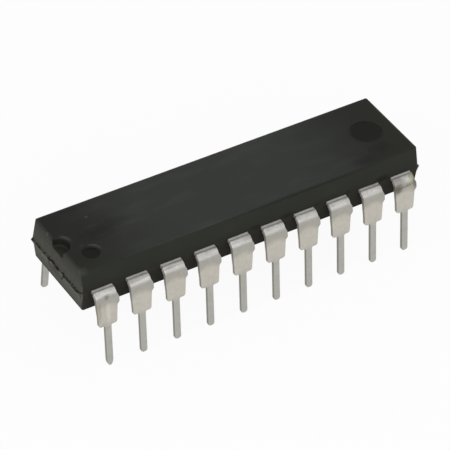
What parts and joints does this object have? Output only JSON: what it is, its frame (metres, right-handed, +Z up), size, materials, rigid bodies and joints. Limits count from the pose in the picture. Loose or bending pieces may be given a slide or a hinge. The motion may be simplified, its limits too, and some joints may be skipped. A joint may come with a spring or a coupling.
{
  "type": "dip integrated circuit chip",
  "caption": "Black plastic dual-in-line chip with an end notch, a pin-1 dimple and two rows of formed tin-plated leads that drop into a board or socket.",
  "frame": {"origin": "middle of the body's length and width, in the plane of the lead tips, so the part stands on a surface", "axes": "+X along the body from the notched end to the other end, +Y from the row that holds pin 1 to the row opposite, +Z up from the lead tips to the body's top face"},
  "size_m": [0.0262, 0.009, 0.0074],
  "materials": {
    "moulding": "satin black epoxy moulding compound",
    "tin_plate": "dull tin plate",
    "frame_metal": "bare copper alloy",
    "adhesive": "silver-filled epoxy",
    "silicon": "polished silicon",
    "gold": "gold wire"
  },
  "bodies": {
    "root": {"moulded_body": "moulding", "die_paddle": "frame_metal", "die_attach": "adhesive", "silicon_die": "silicon", "bond_wires": "gold", "lead_01": "tin_plate", "lead_02": "tin_plate", "lead_03": "tin_plate", "lead_04": "tin_plate", "lead_05": "tin_plate", "lead_06": "tin_plate", "lead_07": "tin_plate", "lead_08": "tin_plate", "lead_09": "tin_plate", "lead_10": "tin_plate", "lead_11": "tin_plate", "lead_12": "tin_plate", "lead_13": "tin_plate", "lead_14": "tin_plate", "lead_15": "tin_plate", "lead_16": "tin_plate", "lead_17": "tin_plate", "lead_18": "tin_plate", "lead_19": "tin_plate", "lead_20": "tin_plate"}
  },
  "joints": []
}
